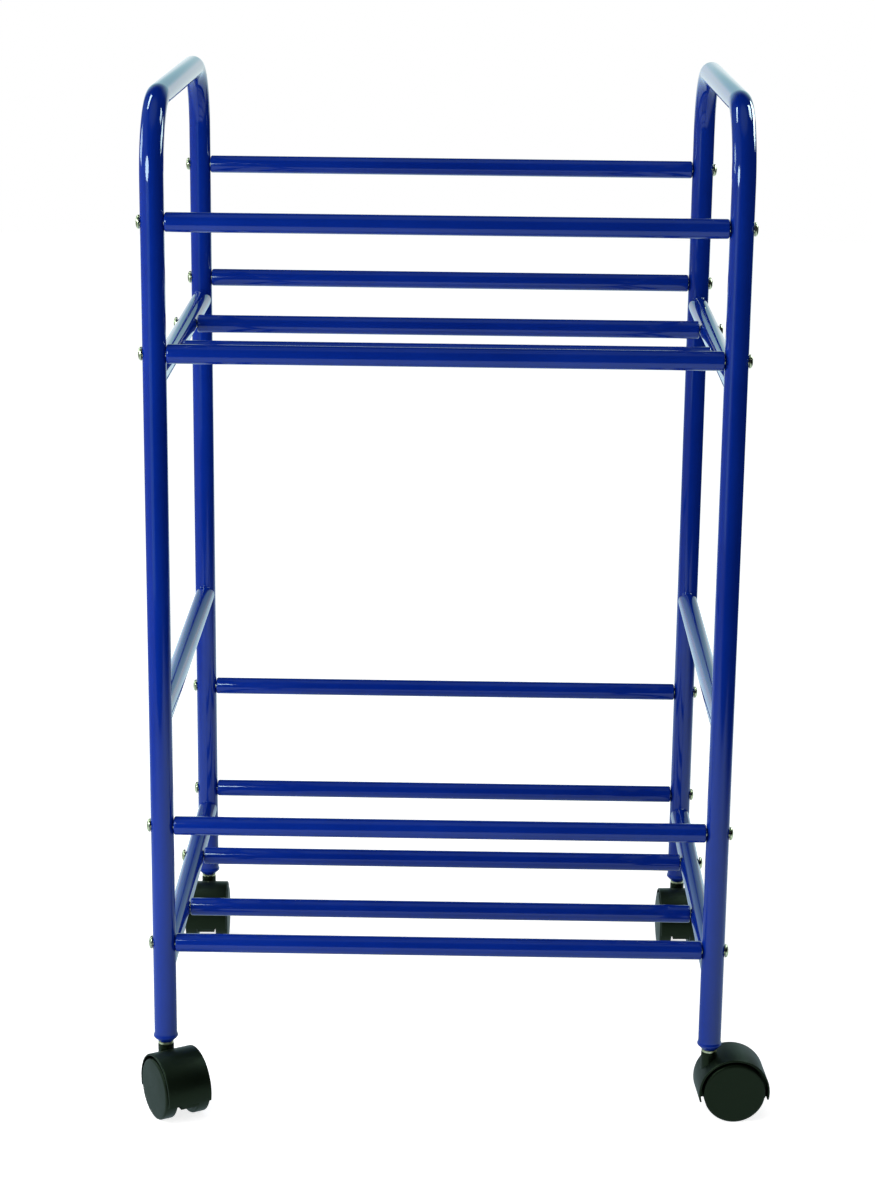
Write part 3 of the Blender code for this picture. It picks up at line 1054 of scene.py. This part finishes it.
    def build(self) -> None:
        """Model each caster piece once and set copies at each caster."""
        hood, wheel = self.hood(), self.wheel()
        stem = turned("caster_stem", self.stem_profile, self.stem_sides)
        joints = {joint["name"]: joint for joint in frame["joints"]}
        for corner in ("front_left", "front_right", "back_left", "back_right"):
            node, body = f"caster_{corner}", f"{corner}_caster"
            spin = Vector(joints[f"{corner}_left_wheel_spin"]["axis"])
            foot = middle_of(f"{node}_stem")
            heading = Matrix.Rotation(math.atan2(-spin.x, spin.y), 4, "Z")
            upright = Matrix.Translation((foot.x, foot.y, 0)) @ heading
            seat = Matrix.Translation((foot.x, foot.y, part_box(f"{node}_stem")[0].z + self.packed_drop))
            piece = copy_at(stem, f"{body}_stem", seat)
            self.booth.hand_over(piece, f"{node}_stem", ROOT_BODY, Finish.ZINC_PLATE)
            piece = copy_at(hood, f"{body}_hood", upright)
            self.booth.hand_over(piece, f"{node}_hood", body, Finish.BLACK_PLASTIC)
            for side, sign in (("left_wheel", 1), ("right_wheel", -1)):
                inner = Matrix.Translation(self.axle + Vector((0, sign * self.wheel_spacing / 2, 0)))
                turn = Matrix.Rotation(-sign * math.pi / 2, 4, "X")
                piece = copy_at(wheel, f"{body}_{side}_body", upright @ inner @ turn)
                self.booth.hand_over(piece, f"{node}_{side}", f"{body}_{side}", Finish.BLACK_PLASTIC)
            self.booth.paint(frame["nodes"][f"{node}_axle"], Finish.ZINC_PLATE)
        for master in (hood, wheel, stem):
            bpy.data.objects.remove(master)


# Camera, floor and light


class Seen(Enum):
    """Which part of a finish a lamp acts on."""

    BY_COLOUR = "colour"
    BY_GLOSS = "gloss"


@dataclass(frozen=True)
class Softbox:
    """One area lamp, which the camera doesn't see.

    Attributes:
        place: Where it hangs, from the middle between the four legs.
        aim: What it points at, from there too.
        power: Watts.
        seen: Which part of a finish it acts on.
        tint: Its colour.
        shape: RECTANGLE or ELLIPSE.
    """

    name: str
    place: tuple[float, float, float]
    aim: tuple[float, float, float]
    size: tuple[float, float]
    power: float
    seen: Seen = Seen.BY_GLOSS
    tint: Colour = COOL
    shape: str = "RECTANGLE"

    def hang(self, centre: Vector) -> None:
        """Add the lamp to the scene.

        Args:
            centre: The middle between the four legs.
        """
        lamp = bpy.data.lights.new(self.name, "AREA")
        lamp.shape = self.shape
        lamp.size, lamp.size_y = self.size
        lamp.energy = self.power
        lamp.color = self.tint
        holder = bpy.data.objects.new(self.name, lamp)
        bpy.context.scene.collection.objects.link(holder)
        holder.location = Vector(self.place) + centre
        holder.rotation_euler = (Vector(self.aim) - Vector(self.place)).to_track_quat("-Z", "Y").to_euler()
        holder.visible_camera = False
        holder.visible_glossy = self.seen is Seen.BY_GLOSS
        holder.visible_diffuse = self.seen is Seen.BY_COLOUR


SOFTBOXES = (
    Softbox("key_left", (-0.95, -0.75, 0.62), (0, 0, 0.45), (0.8, 1.2), 9.2, Seen.BY_COLOUR, WHITE),
    Softbox("fill_left", (-1.50, 0.45, 0.75), (0, 0, 0.45), (0.8, 0.8), 5.0, Seen.BY_COLOUR, WHITE),
    Softbox("key_top", (0, 0, 2.40), (0, 0, 0), (1.6, 1.6), 7.0, Seen.BY_COLOUR, WHITE),
    Softbox("lamp_front_left", (-0.59, -0.74, 0.90), (-0.1, -0.1, 0.8), (0.36, 0.36), 5.8, shape="ELLIPSE"),
    Softbox("lamp_front_left_foot", (-0.60, -0.78, 0.52), (-0.24, -0.2, 0.60), (0.34, 0.42), 0.26, tint=COLD),
    Softbox("window_right", (0.88, 0.43, 1.06), (0.2, -0.2, 0.8), (0.60, 0.24), 5.4),
    Softbox("lamp_top_right", (0.98, 0.45, 1.68), (0, -0.2, 0.8), (0.42, 0.32), 4.9),
    Softbox("window_left", (-1.65, 0.32, 1.08), (0, -0.2, 0.8), (0.65, 0.48), 6.7),
    Softbox("lamp_top_left", (-1.25, 0.82, 2.50), (-0.1, -0.2, 0.8), (0.90, 0.35), 12.0),
)


@dataclass
class PaperFloor:
    """The pale floor, which shows white to the camera away from the trolley's shadow.

    Glossy rays see it as glowing paper with a painted shadow of the trolley, darker beneath it, and painted
    light that makes it brighter behind it; it ends where the studio's paper did.

    Attributes:
        lift: Light that the camera sees on top of the lit floor.
        sheen: Colour of the paper in gloss.
        near_end: Where the paper starts along Y.
        spread: How much wider it grows along Y.
        side_end: Where it ends beside its middle.
        painted_shadow: Painted shadow of the trolley: the glow's strength over the distance from its middle,
            dimmer near it.
        behind: Painted light: how much brighter the glow is behind the trolley.
    """

    centre_y: float = 1.7
    span: tuple[float, float] = (9.0, 6.6)
    paint: Colour = (0.86, 0.86, 0.86)
    lift: float = 0.78
    sheen: Colour = (0.74, 1.0, 1.08)
    near_end: Ramp = Ramp(-2.2, -1.1)
    spread: Ramp = Ramp(2.3, 3.3, 0.0, 2.0, smooth=False)
    side_end: Ramp = Ramp(1.5, 0.75)
    # Painted shadow of the trolley, then painted light behind it, in the paper's glow.
    painted_shadow: Ramp = Ramp(0.10, 0.55, 0.45, 0.85, smooth=False)
    behind: Ramp = Ramp(0.3, 0.8, 1.0, 1.35, smooth=False)

    def for_gloss(self, tree: Tree) -> Socket:
        """Add the shader that glossy rays meet, the glowing paper with painted shade and light, or nothing.

        Args:
            tree: The floor's tree.

        Returns:
            The shader.
        """
        place = add_node(tree, "TexCoord").outputs["Object"]
        parts = add_node(tree, "SeparateXYZ", place).outputs
        reach = add_node(tree, "VectorMath", place, operation="LENGTH").outputs["Value"]
        aside = reckon(tree, "ABSOLUTE", parts["X"])
        beside = reckon(tree, "SUBTRACT", aside, self.spread.over(tree, parts["Y"]))
        near_end, side_end = self.near_end.over(tree, parts["Y"]), self.side_end.over(tree, beside)
        # Painted shade and light: the glow dims near the trolley's middle as its shadow and brightens behind
        # it.
        level = reckon(tree, "MULTIPLY", self.painted_shadow.over(tree, reach), self.behind.over(tree, parts["Y"]))
        paper = add_node(tree, "Emission", Color=self.sheen, Strength=level).outputs[0]
        beyond = add_node(tree, "BsdfTransparent").outputs[0]
        return mix_shaders(tree, reckon(tree, "MULTIPLY", near_end, side_end), beyond, paper)

    def build(self) -> None:
        """Lay the floor."""
        start_fresh()
        bpy.ops.mesh.primitive_plane_add(size=1.0, location=(0, self.centre_y, 0))
        floor = bpy.context.object
        floor.name = "studio_floor"
        floor.scale = (*self.span, 1)
        bpy.ops.object.transform_apply(location=True, rotation=True, scale=True)
        material = bpy.data.materials.new("studio_floor")
        material.use_nodes = True
        tree = material.node_tree
        shader = tree.nodes["Principled BSDF"]
        feed(tree, shader.inputs["Base Color"], self.paint)
        feed(tree, shader.inputs["Roughness"], 1.0)
        feed(tree, shader.inputs["Specular IOR Level"], 0.0)
        path = add_node(tree, "LightPath").outputs
        dark = add_node(tree, "BsdfTransparent", Color=(0.0, 0.0, 0.0)).outputs[0]
        lift = add_node(tree, "Emission", Strength=self.lift).outputs[0]
        lift = mix_shaders(tree, path["Is Camera Ray"], dark, lift)
        lit = add_node(tree, "AddShader", shader.outputs[0], lift).outputs[0]
        seen = mix_shaders(tree, path["Is Glossy Ray"], lit, self.for_gloss(tree))
        feed(tree, tree.nodes["Material Output"].inputs["Surface"], seen)
        floor.data.materials.append(material)


@dataclass
class Surroundings:
    """The world: white to the camera, plain grey for colour, and a pale room for gloss.

    Attributes:
        fill: Brightness for colour.
        low_tint: Colour of the room at the horizon.
        high_tint: Colour of the room higher up.
        pale: How much of the low tint there is, over Z.
        horizon: Brightness of the band at the horizon, over Z.
        haze: Brightness of the wall behind, over Z.
        ceiling: Brightness of the ceiling, over Z.
        left: Brightness of the left wall, over X.
        behind: Where the wall behind lies, over Y.
        narrow: How far the wall behind goes to the sides, over the distance from x = 0.
    """

    fill: float = 0.31
    high_tint: Colour = (0.62, 1.0, 1.0)
    low_tint: Colour = (0.86, 1.0, 1.0)
    pale: Ramp = Ramp(0.14, 0.05)
    horizon: Ramp = Ramp(0.14, 0.05, high=0.25)
    haze: Ramp = Ramp(0.62, 0.08, high=0.85)
    ceiling: Ramp = Ramp(0.85, 0.98, high=0.35)
    left: Ramp = Ramp(-0.40, -0.75, high=0.28)
    behind: Ramp = Ramp(0.00, 0.50)
    narrow: Ramp = Ramp(0.55, 0.25)

    def build(self) -> None:
        """Make the world and set it."""
        world = bpy.data.worlds.new("studio_world")
        bpy.context.scene.world = world
        world.use_nodes = True
        tree = world.node_tree
        tree.nodes.clear()
        path = add_node(tree, "LightPath").outputs
        parts = add_node(tree, "SeparateXYZ", add_node(tree, "TexCoord").outputs["Generated"]).outputs
        behind = self.behind.over(tree, parts["Y"])
        narrow = self.narrow.over(tree, reckon(tree, "ABSOLUTE", parts["X"]))
        wall = reckon(tree, "ADD", self.horizon.over(tree, parts["Z"]), self.haze.over(tree, parts["Z"]))
        wall = reckon(tree, "MULTIPLY", wall, reckon(tree, "MULTIPLY", behind, narrow))
        room = reckon(tree, "MAXIMUM", wall, self.ceiling.over(tree, parts["Z"]))
        room = reckon(tree, "MAXIMUM", room, self.left.over(tree, parts["X"]))
        tint = blend(tree, "RGBA", self.pale.over(tree, parts["Z"]), self.high_tint, self.low_tint)
        soft = add_node(tree, "Background", Color=WHITE, Strength=self.fill).outputs[0]
        shiny = add_node(tree, "Background", Color=tint, Strength=room).outputs[0]
        white = add_node(tree, "Background", Color=WHITE, Strength=1.0).outputs[0]
        unseen = mix_shaders(tree, path["Is Glossy Ray"], soft, shiny)
        add_node(tree, "OutputWorld", mix_shaders(tree, path["Is Camera Ray"], unseen, white))


@dataclass
class Studio:
    """Camera, floor, world and lights.

    Attributes:
        camera_place: Where the camera stands, from the middle between the four legs on the floor.
        yaw: How far it turns to the right of +Y.
        pitch: How far it looks down.
        roll: How far it rolls.
        lens: Its focal length in millimetres.
        sensor: Long side of its film in millimetres.
    """

    camera_place: tuple[float, float, float] = (0.0196, -2.3328, 1.0435)
    yaw: float = -0.011
    pitch: float = 0.272
    roll: float = 0.011
    lens: float = 82.82
    sensor: float = 36.0

    def set_camera(self, centre: Vector) -> None:
        """Stand the camera at the photograph's viewpoint.

        Args:
            centre: The middle between the four legs.
        """
        flat = Vector((math.sin(self.yaw), math.cos(self.yaw), 0))
        forward = flat * math.cos(self.pitch) - Vector((0, 0, math.sin(self.pitch)))
        right = Vector((flat.y, -flat.x, 0))
        up = right.cross(forward)
        rolled_right = right * math.cos(self.roll) + up * math.sin(self.roll)
        rolled_up = up * math.cos(self.roll) - right * math.sin(self.roll)
        camera = bpy.data.cameras.new("camera")
        camera.lens = self.lens
        camera.sensor_width = self.sensor
        holder = bpy.data.objects.new("camera", camera)
        bpy.context.scene.collection.objects.link(holder)
        turn = Matrix((rolled_right, rolled_up, -forward)).transposed().to_4x4()
        holder.matrix_world = Matrix.Translation(Vector(self.camera_place) + centre) @ turn
        bpy.context.scene.camera = holder

    def build(self) -> None:
        """Set everything that isn't part of the trolley."""
        centre = (middle_of("side_frame_left") + middle_of("side_frame_right")) / 2
        centre.z = 0
        self.set_camera(centre)
        PaperFloor().build()
        Surroundings().build()
        for softbox in SOFTBOXES:
            softbox.hang(centre)
        bpy.context.scene.view_settings.view_transform = "Standard"


def main() -> None:
    """Build the trolley's looks."""
    logging.basicConfig(level=logging.INFO, format="%(name)s: %(message)s")
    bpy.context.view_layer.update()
    booth = PaintBooth()
    SideFrames(booth).build()
    bars = Crossbars(booth).build()
    Screws(booth).build(bars)
    Casters(booth).build()
    Studio().build()


if __name__ == "__main__":
    main()
